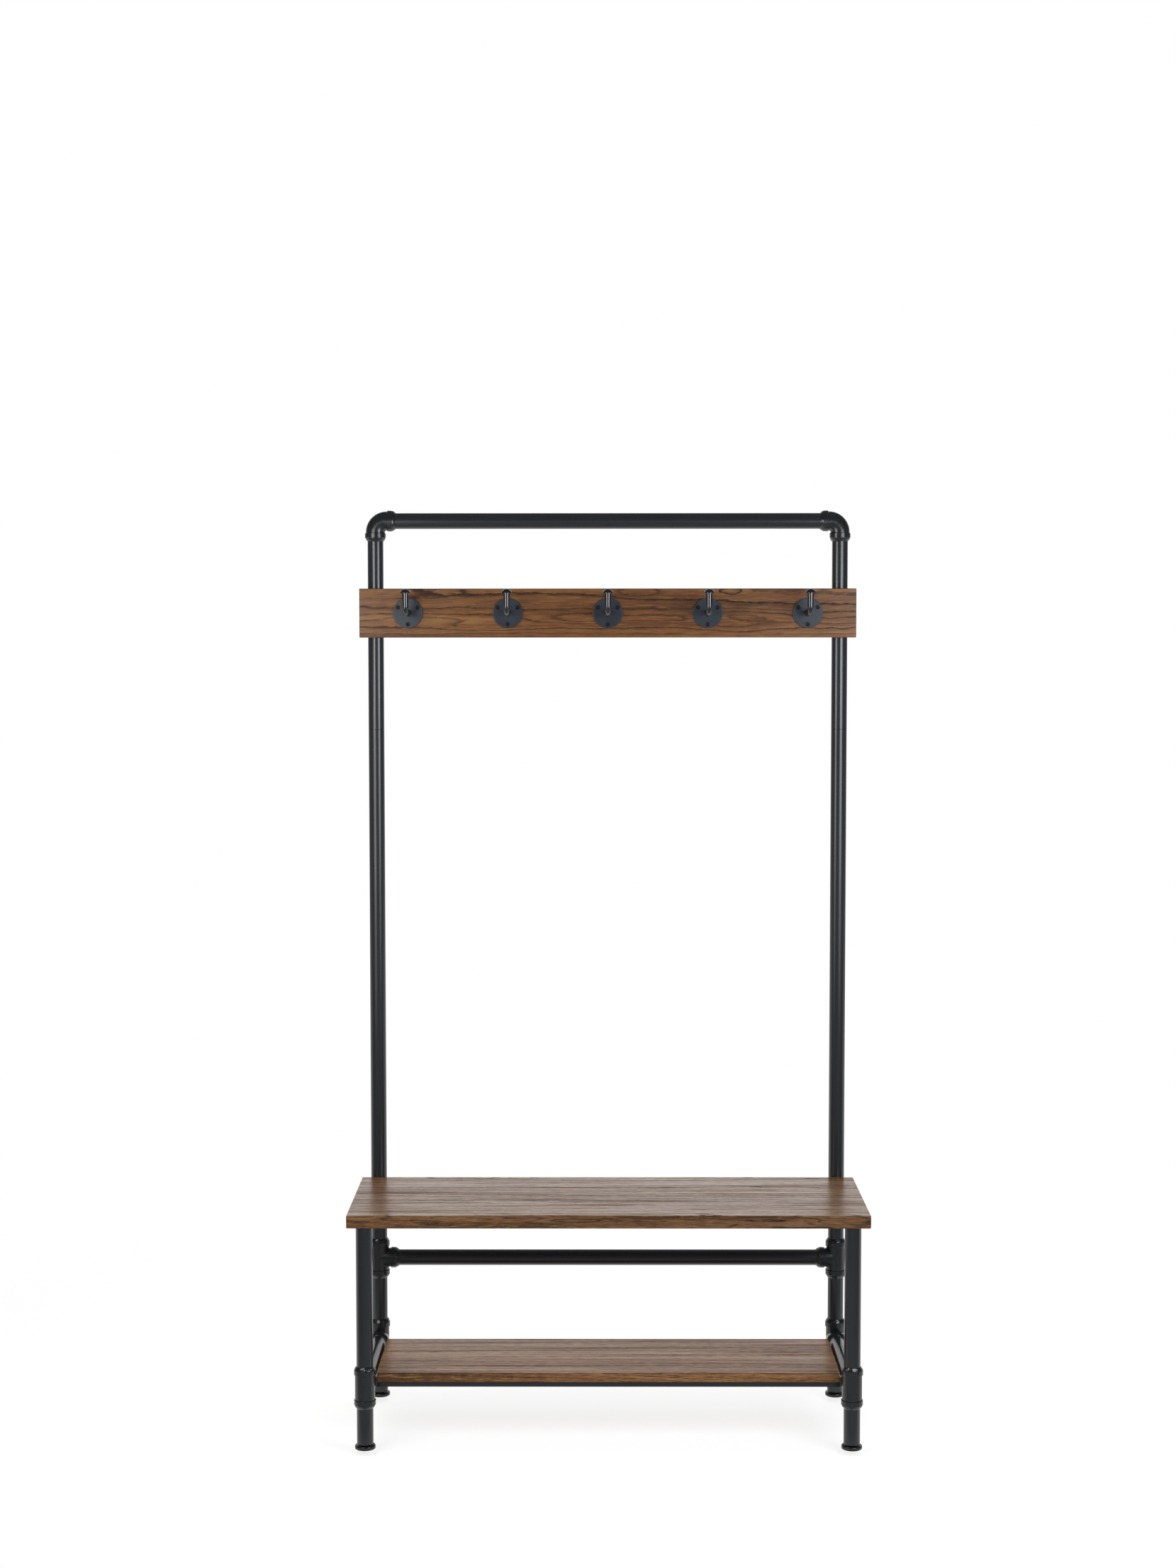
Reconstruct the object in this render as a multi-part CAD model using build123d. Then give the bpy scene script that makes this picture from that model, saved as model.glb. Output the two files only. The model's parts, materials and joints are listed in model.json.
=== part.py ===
from build123d import *
import os
from math import asin, cos, sin

# Pipe-frame hall tree: a wooden bench with a shoe shelf, two tall rear uprights, a top rail
# and a wooden board with a row of hooks. Millimetres, +Z up, +X to the right, front at -Y.
# The origin is on the floor, under the middle of the frame.

# ---- overall sizes ----
overall_width = 1000.0  # length of the bench seat, the widest piece
overall_height = 1810.0  # floor to the top of the elbows' bands
leg_depth = 327.0  # front leg axis to rear upright axis
seat_height = 457.0  # floor to the top of the seat

# ---- pipe and its fittings ----
tube_diameter = 31.8
tube_wall = 1.5
fitting_wall = 3.35  # cast body of an elbow or a tee, outside the tube
band_rise = 1.75  # raised band at each mouth of a fitting
band_width = 10.5
band_chamfer = 0.9
weld_length = 6.0  # sloping weld seam from a mouth to the tube
weld_step = 0.6  # the seam's thin end, over the tube
fitting_reach = 34.5  # centre of a fitting to the face of a mouth
socket_depth = 12.0  # how far a tube goes into a mouth
fit_clearance = 0.05  # radial play of a tube in its socket, a sleeve in its tube, a screw in its hole
tube_end_chamfer = 0.4

# ---- places of the pipework ----
end_overhang = 32.5  # end of the seat to the leg axis
rear_rail_height = 287.0
side_rail_height = 120.0
slip_joint_height = 1370.0
sleeve_length = 90.0
sleeve_wall = 1.5

# ---- wooden boards ----
seat_thickness = 25.0
seat_front_lip = 3.0  # seat edge in front of the front legs
seat_gap = 0.5  # seat to the uprights behind it
seat_rounding = 2.0
shelf_thickness = 18.0
shelf_depth = 230.0
shelf_end_gap = 3.0  # shelf end to the side rail's flank
shelf_below_rail = 4.5  # shelf top below the top of the side rails
shelf_rounding = 1.0
hook_board_overhang = 30.0  # end of the hook board past the upright's axis
hook_board_height = 98.0
hook_board_thickness = 20.0
hook_board_middle = 1604.0  # floor to the board's middle line
hook_board_rounding = 1.2
board_gap = 0.2  # board to the crest of the upright behind it

# ---- shelf bars and screws ----
bar_width = 20.0
bar_height = 10.0
bar_wall = 1.5
bar_setback = 4.0  # face of a bar in from the shelf's edge
weld_gap = 0.15  # coped end to the tube that it is welded to
shelf_screw_span = 416.0  # middle of the shelf to an outer screw
wood_screw_radius = 2.1
pan_head_radius = 5.5
pan_head_height = 2.2
screw_bite = 13.0  # how far a screw goes into the wood

# ---- seat fixings ----
tab_width = 30.0
tab_reach = 45.0  # upright's front to the end of the tab
tab_thickness = 4.0
tab_corner = 7.0
tab_wrap = 8.0  # how far the coped end runs back past the tube's front
gusset_depth = 30.0
gusset_height = 26.0
tab_screw_pitch = 18.0
tab_screw_setback = 10.0  # end of the tab to its screws
leg_plug_height = 6.0
hanger_bolt_radius = 4.0
hanger_bolt_below = 20.0
hanger_bolt_bite = 17.0

# ---- hook board bolts ----
board_bolt_radius = 3.0
board_bolt_pitch = 50.0
board_bolt_head_radius = 5.25
board_bolt_head_height = 3.3
insert_radius = 5.0
insert_length = 14.0

# ---- hooks ----
hook_count = 5
hook_pitch = 200.0
plate_diameter = 60.0
plate_thickness = 3.5
plate_edge = 0.8
plate_screw_circle = 45.0
plate_screw_angles = (-90.0, 30.0, 150.0)
plate_screw_head_radius = 4.7
plate_screw_head_height = 2.6
plate_screw_bite = 15.0
arm_diameter = 12.0
arm_reach = 68.0  # board front to the axis of the upturned end
arm_bend_radius = 15.0
arm_rise = 32.0  # arm axis to the cap's lower end
arm_tenon_radius = 4.0
arm_root_rise = 1.3  # small collar at the plate, over the arm
arm_root_length = 1.2
cap_spigot_length = 8.0
cap_stem_rise = 0.3  # cap's stem over the arm
cap_rim_rise = 4.7  # cap's rim over the arm
cap_stem_length = 6.6  # cap's lower end to its rim
cap_rim_edge = 0.9
cap_dome_height = 7.6

# ---- levelling feet ----
pad_diameter = 40.0
pad_height = 7.5
pad_top_rounding = 2.8
pad_bottom_rounding = 1.6
boss_radius = 8.5
boss_height = 2.0
stud_radius = 4.0
stud_length = 28.0
stud_clearance = 0.06
foot_flange_radius = 15.2
foot_flange_height = 1.5
foot_plug_height = 15.0

# ---- worked out from the sizes above ----
tube_radius = tube_diameter / 2
bore_radius = tube_radius - tube_wall
body_radius = tube_radius + fitting_wall
band_radius = body_radius + band_rise
leg_x = overall_width / 2 - end_overhang
front_y = -leg_depth / 2
rear_y = leg_depth / 2
top_rail_height = overall_height - band_radius
tube_stop = fitting_reach - socket_depth  # centre of a fitting to the end of a tube in it
leg_foot = pad_height + boss_height + foot_flange_height  # floor to the lower end of a leg
seat_bottom = seat_height - seat_thickness
seat_front = front_y - tube_radius - seat_front_lip
seat_rear = rear_y - tube_radius - seat_gap
shelf_top = side_rail_height + tube_radius - shelf_below_rail
shelf_bottom = shelf_top - shelf_thickness
shelf_length = 2 * (leg_x - tube_radius - shelf_end_gap)
bar_y = shelf_depth / 2 - bar_setback - bar_width / 2
bar_middle = shelf_bottom - bar_height / 2
hook_board_length = 2 * (leg_x + hook_board_overhang)
board_rear = rear_y - tube_radius - board_gap
board_front = board_rear - hook_board_thickness
plate_front = board_front - plate_thickness
post_y = board_front - arm_reach
arm_radius = arm_diameter / 2
cap_rim_radius = arm_radius + cap_rim_rise
hook_places = [(i - (hook_count - 1) / 2) * hook_pitch for i in range(hook_count)]
sides = {"left": -1, "right": 1}

UP = Vector(0, 0, 1)
BACK = Vector(0, 1, 0)
ACROSS = Vector(1, 0, 0)


def rod(start, direction, length, radius):
    """A round bar from a point, along a direction."""
    place = Plane(origin=start, z_dir=direction)
    return place * Cylinder(radius, length, align=(Align.CENTER, Align.CENTER, Align.MIN))


def between(start, end, radius):
    """A round bar from one point to another."""
    run = Vector(*end) - Vector(*start)
    return rod(start, run.normalized(), run.length, radius)


def pipe(start, end, radius=tube_radius, wall=tube_wall):
    """An open pipe with lightly broken outer edges at both ends."""
    outside = between(start, end, radius)
    rims = outside.edges().filter_by(GeomType.CIRCLE)
    return chamfer(rims, tube_end_chamfer) - between(start, end, radius - wall)


def rounded_board(length, depth, height, rounding):
    """A board with all its edges eased."""
    board = Box(length, depth, height)
    return fillet(board.edges(), rounding)


def band(centre, direction):
    """The raised band that ends at a fitting's mouth."""
    start = Vector(*centre) + direction * (fitting_reach - band_width)
    ring = rod(start, direction, band_width, band_radius)
    return chamfer(ring.edges().filter_by(GeomType.CIRCLE), band_chamfer)


def weld(centre, direction):
    """The seam that slopes from a mouth's face down to the tube."""
    face = Vector(*centre) + direction * fitting_reach
    seam = Cone(
        band_radius - band_chamfer,
        tube_radius + weld_step,
        weld_length,
        align=(Align.CENTER, Align.CENTER, Align.MIN),
    )
    return Plane(origin=face, z_dir=direction) * seam


def socket(centre, direction):
    """The counterbore that a tube goes into, open through the weld seam."""
    start = Vector(*centre) + direction * tube_stop
    return rod(start, direction, socket_depth + weld_length, tube_radius + fit_clearance)


def tee(centre, turn):
    """A cast tee: its run is vertical, and its branch points along +X, turned about Z."""
    middle = Vector(0, 0, 0)
    low = -UP * fitting_reach
    mouths = (UP, -UP, ACROSS)
    body = rod(low, UP, 2 * fitting_reach, body_radius)
    body += rod(middle, ACROSS, fitting_reach, body_radius)
    for mouth in mouths:
        body += band(middle, mouth) + weld(middle, mouth)
    body -= rod(low, UP, 2 * fitting_reach, bore_radius)
    body -= rod(middle, ACROSS, fitting_reach, bore_radius)
    for mouth in mouths:
        body -= socket(middle, mouth)
    return Pos(*centre) * Rot(0, 0, turn) * body


def bent_bar(first_length, second_length, bend_radius, radius):
    """A round bar in the XZ plane, its corner at the origin: one leg runs down, one along +X."""
    down = rod((0, 0, -first_length), UP, first_length - bend_radius, radius)
    along = rod((bend_radius, 0, 0), ACROSS, second_length - bend_radius, radius)
    start = Plane(origin=(0, 0, -bend_radius), z_dir=UP) * Circle(radius)
    pivot = Axis((bend_radius, 0, -bend_radius), (0, 1, 0))
    return down + revolve(start, pivot, revolution_arc=90) + along


def elbow(centre, turn):
    """A cast elbow at a top corner: one mouth points down, the other along +X, turned about Z."""
    middle = Vector(0, 0, 0)
    body = bent_bar(fitting_reach, fitting_reach, tube_stop, body_radius)
    for mouth in (-UP, ACROSS):
        body += band(middle, mouth) + weld(middle, mouth)
    body -= bent_bar(fitting_reach, fitting_reach, tube_stop, bore_radius)
    for mouth in (-UP, ACROSS):
        body -= socket(middle, mouth)
    return Pos(*centre) * Rot(0, 0, turn) * body


def screw(tip, direction, length, radius, head_radius, head_height):
    """A plain screw with a domed head: the tip is its far end, the direction runs to the head."""
    seat = Vector(*tip) + direction * length
    head = rod(seat, direction, head_height, head_radius)
    crown = head.edges().filter_by(GeomType.CIRCLE).sort_by(Axis(tip, direction))[-1]
    return rod(tip, direction, length, radius) + fillet(crown, head_height * 0.7)


# ---- boards ----
def seat_bolt_places():
    return [(side * leg_x, front_y) for side in sides.values()]


def tab_screw_places():
    y = rear_y - tube_radius - tab_reach + tab_screw_setback
    return [
        (side * leg_x + step * tab_screw_pitch / 2, y) for side in sides.values() for step in (-1, 1)
    ]


def seat_board():
    depth = seat_rear - seat_front
    board = rounded_board(overall_width, depth, seat_thickness, seat_rounding)
    board = Pos(0, (seat_rear + seat_front) / 2, seat_bottom + seat_thickness / 2) * board
    for x, y in seat_bolt_places():
        board -= rod((x, y, seat_bottom), UP, hanger_bolt_bite, hanger_bolt_radius + fit_clearance)
    for x, y in tab_screw_places():
        board -= rod((x, y, seat_bottom), UP, screw_bite, wood_screw_radius + fit_clearance)
    return board


def shelf_screw_places():
    return [
        (step * shelf_screw_span, side * bar_y) for side in (-1, 1) for step in (-1, 0, 1)
    ]


def shelf_board():
    board = rounded_board(shelf_length, shelf_depth, shelf_thickness, shelf_rounding)
    board = Pos(0, 0, shelf_bottom + shelf_thickness / 2) * board
    for x, y in shelf_screw_places():
        board -= rod((x, y, shelf_bottom), UP, screw_bite, wood_screw_radius + fit_clearance)
    return board


def board_bolt_places():
    return [
        (side * leg_x, hook_board_middle + step * board_bolt_pitch / 2)
        for side in sides.values()
        for step in (-1, 1)
    ]


def plate_screw_places():
    spokes = [Vector(plate_screw_circle / 2, 0).rotate(Axis.Z, a) for a in plate_screw_angles]
    return [(x + spoke.X, hook_board_middle + spoke.Y) for x in hook_places for spoke in spokes]


def hook_board():
    board = rounded_board(
        hook_board_length, hook_board_thickness, hook_board_height, hook_board_rounding
    )
    board = Pos(0, (board_rear + board_front) / 2, hook_board_middle) * board
    for x, z in board_bolt_places():
        board -= rod((x, board_rear, z), -BACK, insert_length, insert_radius + fit_clearance)
    for x, z in plate_screw_places():
        board -= rod((x, board_front, z), BACK, plate_screw_bite, wood_screw_radius + fit_clearance)
    return board


# ---- pipework of one side ----
def upper_upright(x):
    tube = pipe((x, rear_y, slip_joint_height), (x, rear_y, top_rail_height - tube_stop))
    hole_radius = board_bolt_radius + fit_clearance
    for bolt_x, z in board_bolt_places():
        if bolt_x == x:
            tube -= rod((x, rear_y + tube_diameter, z), -BACK, 2 * tube_diameter, hole_radius)
    return tube


def lower_upright(x):
    return pipe((x, rear_y, rear_rail_height + tube_stop), (x, rear_y, slip_joint_height))


def rear_leg(x):
    low = (x, rear_y, side_rail_height + tube_stop)
    return pipe(low, (x, rear_y, rear_rail_height - tube_stop))


def front_leg(x):
    return pipe((x, front_y, side_rail_height + tube_stop), (x, front_y, seat_bottom))


def leg_end(x, y):
    return pipe((x, y, leg_foot), (x, y, side_rail_height - tube_stop))


def side_rail(x):
    front = (x, front_y + tube_stop, side_rail_height)
    return pipe(front, (x, rear_y - tube_stop, side_rail_height))


def cross_pipe(height):
    end = leg_x - tube_stop
    return pipe((-end, rear_y, height), (end, rear_y, height))


def upright_sleeves():
    low = slip_joint_height - sleeve_length / 2
    radius = bore_radius - fit_clearance
    return [
        pipe((side * leg_x, rear_y, low), (side * leg_x, rear_y, low + sleeve_length), radius, sleeve_wall)
        for side in sides.values()
    ]


# ---- shelf bars ----
def shelf_bar(y):
    """A flat box bar under the shelf, its ends coped to the side rails."""
    bar = Box(2 * leg_x, bar_width, bar_height)
    bar -= Box(2 * leg_x, bar_width - 2 * bar_wall, bar_height - 2 * bar_wall)
    bar = Pos(0, y, bar_middle) * bar
    for side in sides.values():
        rail_start = (side * leg_x, y - bar_width, side_rail_height)
        bar -= rod(rail_start, BACK, 2 * bar_width, tube_radius + weld_gap)
    # Below the rails' lower quarter the cope leaves a loose lip past the rail's axis.
    keep = Box(2 * (leg_x - tube_radius * 0.3), 2 * bar_width, 4 * bar_height)
    bar = bar & (Pos(0, y, bar_middle) * keep)
    for x, screw_y in shelf_screw_places():
        if screw_y == y:
            start = (x, y, bar_middle - bar_height)
            bar -= rod(start, UP, 2 * bar_height, wood_screw_radius + fit_clearance)
    return bar


def shelf_screws():
    length = bar_height + screw_bite
    return [
        screw((x, y, shelf_bottom + screw_bite), -UP, length, wood_screw_radius,
              pan_head_radius, pan_head_height)
        for x, y in shelf_screw_places()
    ]


# ---- seat fixings ----
def seat_tab(x):
    """A flat tab welded to an upright's front, with a gusset under it."""
    front = rear_y - tube_radius - tab_reach
    back = rear_y - tube_radius + tab_wrap
    flat = Box(tab_width, back - front, tab_thickness)
    corners = flat.edges().filter_by(Axis.Z).group_by(Axis.Y)[0]
    flat = fillet(corners, tab_corner)
    tab = Pos(x, (front + back) / 2, seat_bottom - tab_thickness / 2) * flat
    top = seat_bottom - tab_thickness
    root = rear_y - tube_radius
    web = Plane.YZ * make_face(
        Polyline(
            (root + tab_wrap / 2, top),
            (root - gusset_depth, top),
            (root + tab_wrap / 2, top - gusset_height),
            close=True,
        )
    )
    tab += Pos(x - tab_thickness / 2, 0, 0) * extrude(web, tab_thickness)
    low = (x, rear_y, seat_bottom - 2 * gusset_height)
    tab -= rod(low, UP, 3 * gusset_height, tube_radius + weld_gap)
    for screw_x, y in tab_screw_places():
        tab -= rod((screw_x, y, top), UP, tab_thickness, wood_screw_radius + fit_clearance)
    return tab


def seat_tabs():
    return [seat_tab(side * leg_x) for side in sides.values()]


def seat_tab_screws():
    length = tab_thickness + screw_bite
    return [
        screw((x, y, seat_bottom + screw_bite), -UP, length, wood_screw_radius,
              pan_head_radius, pan_head_height)
        for x, y in tab_screw_places()
    ]


def leg_top_plugs():
    """Threaded discs welded into the tops of the front legs."""
    plugs = []
    for x, y in seat_bolt_places():
        low = (x, y, seat_bottom - leg_plug_height)
        plug = rod(low, UP, leg_plug_height, bore_radius - fit_clearance)
        plugs.append(plug - rod(low, UP, leg_plug_height, hanger_bolt_radius + fit_clearance))
    return plugs


def seat_hanger_bolts():
    length = hanger_bolt_below + hanger_bolt_bite
    return [
        rod((x, y, seat_bottom - hanger_bolt_below), UP, length, hanger_bolt_radius)
        for x, y in seat_bolt_places()
    ]


# ---- hook board fixings ----
def board_bolts():
    length = 2 * tube_radius + board_gap + insert_length
    return [
        screw((x, board_rear - insert_length, z), BACK, length, board_bolt_radius,
              board_bolt_head_radius, board_bolt_head_height)
        for x, z in board_bolt_places()
    ]


def board_inserts():
    inserts = []
    for x, z in board_bolt_places():
        sleeve = rod((x, board_rear, z), -BACK, insert_length, insert_radius)
        bore = rod((x, board_rear, z), -BACK, insert_length, board_bolt_radius + fit_clearance)
        inserts.append(sleeve - bore)
    return inserts


# ---- hooks ----
def countersink(x, z):
    """The cone and the straight hole for one of a plate's screws, cut from the front."""
    cone = Cone(
        plate_screw_head_radius + fit_clearance,
        wood_screw_radius + fit_clearance,
        plate_screw_head_height,
        align=(Align.CENTER, Align.CENTER, Align.MIN),
    )
    hole = rod((x, plate_front, z), BACK, plate_thickness, wood_screw_radius + fit_clearance)
    return Plane(origin=(x, plate_front, z), z_dir=BACK) * cone + hole


def hook_plate(x):
    plate = rod((x, board_front, hook_board_middle), -BACK, plate_thickness, plate_diameter / 2)
    front_rim = plate.edges().filter_by(GeomType.CIRCLE).sort_by(Axis.Y)[0]
    plate = fillet(front_rim, plate_edge)
    tenon_hole = arm_tenon_radius + fit_clearance
    plate -= rod((x, board_front, hook_board_middle), -BACK, plate_thickness, tenon_hole)
    for screw_x, z in plate_screw_places():
        if abs(screw_x - x) < plate_diameter / 2:
            plate -= countersink(screw_x, z)
    return plate


def hook_arm(x):
    """A round bar that comes straight out of its plate and turns up, with a spigot for the cap."""
    bar = bent_bar(arm_rise, plate_front - post_y, arm_bend_radius, arm_radius)
    arm = Pos(x, post_y, hook_board_middle) * Rot(0, 0, 90) * Rot(180, 0, 0) * bar
    arm += rod((x, board_front, hook_board_middle), -BACK, plate_thickness, arm_tenon_radius)
    root_radius = arm_radius + arm_root_rise
    collar = rod((x, plate_front, hook_board_middle), -BACK, arm_root_length, root_radius)
    rim = collar.edges().filter_by(GeomType.CIRCLE).sort_by(Axis.Y)[0]
    arm += chamfer(rim, arm_root_length * 0.75)
    end = (x, post_y, hook_board_middle + arm_rise)
    return arm + rod(end, UP, cap_spigot_length, arm_tenon_radius)


def hook_cap(x):
    """A domed cap: a short stem, a wider rim and a dome, bored from below for the arm's spigot."""
    rim = cap_stem_length
    stem_radius = arm_radius + cap_stem_rise
    shoulder = rim + cap_rim_edge
    top = shoulder + cap_dome_height
    bore = arm_tenon_radius + fit_clearance
    # The dome is part of a sphere whose centre is on the cap's axis.
    dome_radius = (cap_rim_radius**2 + cap_dome_height**2) / (2 * cap_dome_height)
    half_angle = asin(cap_rim_radius / dome_radius) / 2
    dome_middle = (dome_radius * sin(half_angle), top - dome_radius * (1 - cos(half_angle)))
    side_line = Polyline(
        (0, top),
        (0, cap_spigot_length),
        (bore, cap_spigot_length),
        (bore, 0),
        (stem_radius, 0),
        (stem_radius, rim),
        (cap_rim_radius, rim + cap_rim_edge / 2),
        (cap_rim_radius, shoulder),
    )
    dome = ThreePointArc((cap_rim_radius, shoulder), dome_middle, (0, top))
    outline = Wire(side_line.edges() + dome.edges())
    cap = revolve(Plane.XZ * Face(outline), Axis.Z)
    return Pos(x, post_y, hook_board_middle + arm_rise) * cap


def hook_screws():
    """Countersunk screws, flush with the plates."""
    screws = []
    length = plate_thickness + plate_screw_bite
    for x, z in plate_screw_places():
        place = Plane(origin=(x, plate_front, z), z_dir=BACK)
        head = Cone(
            plate_screw_head_radius,
            wood_screw_radius,
            plate_screw_head_height,
            align=(Align.CENTER, Align.CENTER, Align.MIN),
        )
        shank = rod((x, plate_front, z), BACK, length, wood_screw_radius)
        screws.append(place * head + shank)
    return screws


# ---- levelling feet ----
def foot_plugs():
    """Flanged plugs in the lower ends of the four legs, bored for the feet's studs."""
    plugs = []
    for y in (front_y, rear_y):
        for side in sides.values():
            low = Vector(side * leg_x, y, pad_height + boss_height)
            plug = rod(low, UP, foot_flange_height, foot_flange_radius)
            plug += rod(low, UP, foot_flange_height + foot_plug_height, bore_radius - fit_clearance)
            length = foot_flange_height + foot_plug_height
            plugs.append(plug - rod(low, UP, length, stud_radius + stud_clearance))
    return plugs


def foot(x, y):
    """A round pad with a boss and a stud that screws up into the leg."""
    pad = rod((x, y, 0), UP, pad_height, pad_diameter / 2)
    rims = pad.edges().filter_by(GeomType.CIRCLE).sort_by(Axis.Z)
    pad = fillet(rims[-1], pad_top_rounding)
    rims = pad.edges().filter_by(GeomType.CIRCLE).sort_by(Axis.Z)
    pad = fillet(rims[0], pad_bottom_rounding)
    pad += rod((x, y, pad_height), UP, boss_height, boss_radius)
    pad += rod((x, y, pad_height + boss_height), UP, stud_length, stud_radius)
    return pad


# ---- the whole object, one entry for each named piece or group of like pieces ----
pieces = {
    "seat_board": seat_board(),
    "shelf_board": shelf_board(),
    "hook_board": hook_board(),
    "top_rail": cross_pipe(top_rail_height),
    "rear_rail": cross_pipe(rear_rail_height),
    "upright_sleeves": upright_sleeves(),
    "front_shelf_bar": shelf_bar(-bar_y),
    "rear_shelf_bar": shelf_bar(bar_y),
    "shelf_screws": shelf_screws(),
    "seat_tabs": seat_tabs(),
    "seat_tab_screws": seat_tab_screws(),
    "leg_top_plugs": leg_top_plugs(),
    "seat_hanger_bolts": seat_hanger_bolts(),
    "board_bolts": board_bolts(),
    "board_inserts": board_inserts(),
    "hook_screws": hook_screws(),
    "foot_plugs": foot_plugs(),
}

for name, side in sides.items():
    x = side * leg_x
    turn = 90 + side * 90  # a branch along +X then points towards the middle
    pieces[name + "_top_elbow"] = elbow((x, rear_y, top_rail_height), turn)
    pieces[name + "_upper_upright"] = upper_upright(x)
    pieces[name + "_lower_upright"] = lower_upright(x)
    pieces[name + "_rear_tee"] = tee((x, rear_y, rear_rail_height), turn)
    pieces[name + "_rear_leg"] = rear_leg(x)
    pieces[name + "_rear_shelf_tee"] = tee((x, rear_y, side_rail_height), -90)
    pieces[name + "_rear_leg_end"] = leg_end(x, rear_y)
    pieces[name + "_front_leg"] = front_leg(x)
    pieces[name + "_front_shelf_tee"] = tee((x, front_y, side_rail_height), 90)
    pieces[name + "_front_leg_end"] = leg_end(x, front_y)
    pieces[name + "_side_rail"] = side_rail(x)
    pieces[name + "_front_foot"] = foot(x, front_y)
    pieces[name + "_rear_foot"] = foot(x, rear_y)

for number, x in enumerate(hook_places, start=1):
    pieces[f"hook_plate_{number}"] = hook_plate(x)
    pieces[f"hook_arm_{number}"] = hook_arm(x)
    pieces[f"hook_cap_{number}"] = hook_cap(x)

os.makedirs("parts", exist_ok=True)
for name, shape in pieces.items():
    solids = shape if isinstance(shape, list) else [shape]
    export_step(Compound(children=solids) if len(solids) > 1 else solids[0], f"parts/{name}.step")
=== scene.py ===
import json
import math
import bmesh
import bpy
import numpy as np
from mathutils import Matrix, Vector


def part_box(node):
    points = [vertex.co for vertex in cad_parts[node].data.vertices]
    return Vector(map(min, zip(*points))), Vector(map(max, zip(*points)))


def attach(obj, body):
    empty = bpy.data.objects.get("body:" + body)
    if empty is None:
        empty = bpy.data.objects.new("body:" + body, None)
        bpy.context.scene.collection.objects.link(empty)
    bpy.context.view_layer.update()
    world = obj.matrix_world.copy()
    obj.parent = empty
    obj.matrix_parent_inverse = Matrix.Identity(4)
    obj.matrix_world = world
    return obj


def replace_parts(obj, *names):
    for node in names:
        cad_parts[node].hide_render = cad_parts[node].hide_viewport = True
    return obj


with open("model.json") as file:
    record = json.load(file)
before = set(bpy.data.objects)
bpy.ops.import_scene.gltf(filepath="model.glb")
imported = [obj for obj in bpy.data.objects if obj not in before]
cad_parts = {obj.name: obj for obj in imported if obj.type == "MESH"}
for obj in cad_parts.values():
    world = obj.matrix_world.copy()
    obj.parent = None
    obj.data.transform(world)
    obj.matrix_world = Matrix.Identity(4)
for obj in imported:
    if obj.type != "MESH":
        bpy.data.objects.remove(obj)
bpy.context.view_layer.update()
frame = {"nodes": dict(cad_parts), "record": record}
nodes = frame["nodes"]
scene = bpy.context.scene
hookCount = sum(name.startswith("hook_plate_") for name in nodes)
print("frame loaded:", len(nodes), "nodes")


class Knob:
    # one socket of a node tree: plain sums on it add the Math nodes they need
    def __init__(self, bench, socket):
        self.bench = bench
        self.socket = socket

    def math(self, operation, *others):
        inputs = dict(enumerate((self,) + others))
        return self.bench.make("ShaderNodeMath", {"operation": operation}, inputs)

    def reflected(self, operation, other):
        return self.bench.make("ShaderNodeMath", {"operation": operation}, {0: other, 1: self})

    def __add__(self, other):
        return self.math("ADD", other)

    def __radd__(self, other):
        return self.reflected("ADD", other)

    def __sub__(self, other):
        return self.math("SUBTRACT", other)

    def __rsub__(self, other):
        return self.reflected("SUBTRACT", other)

    def __mul__(self, other):
        return self.math("MULTIPLY", other)

    def __rmul__(self, other):
        return self.reflected("MULTIPLY", other)

    def __truediv__(self, other):
        return self.math("DIVIDE", other)

    def __pow__(self, other):
        return self.math("POWER", other)

    def smooth(self, low, high):
        # 0 below low, 1 above high, an S curve between
        sockets = {"Value": self, "From Min": low, "From Max": high}
        return self.bench.make("ShaderNodeMapRange", {"interpolation_type": "SMOOTHSTEP"}, sockets)

    def axis(self, name):
        # X, Y or Z of a vector
        return self.bench.make("ShaderNodeSeparateXYZ", {}, {0: self}, "XYZ".index(name))


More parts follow.
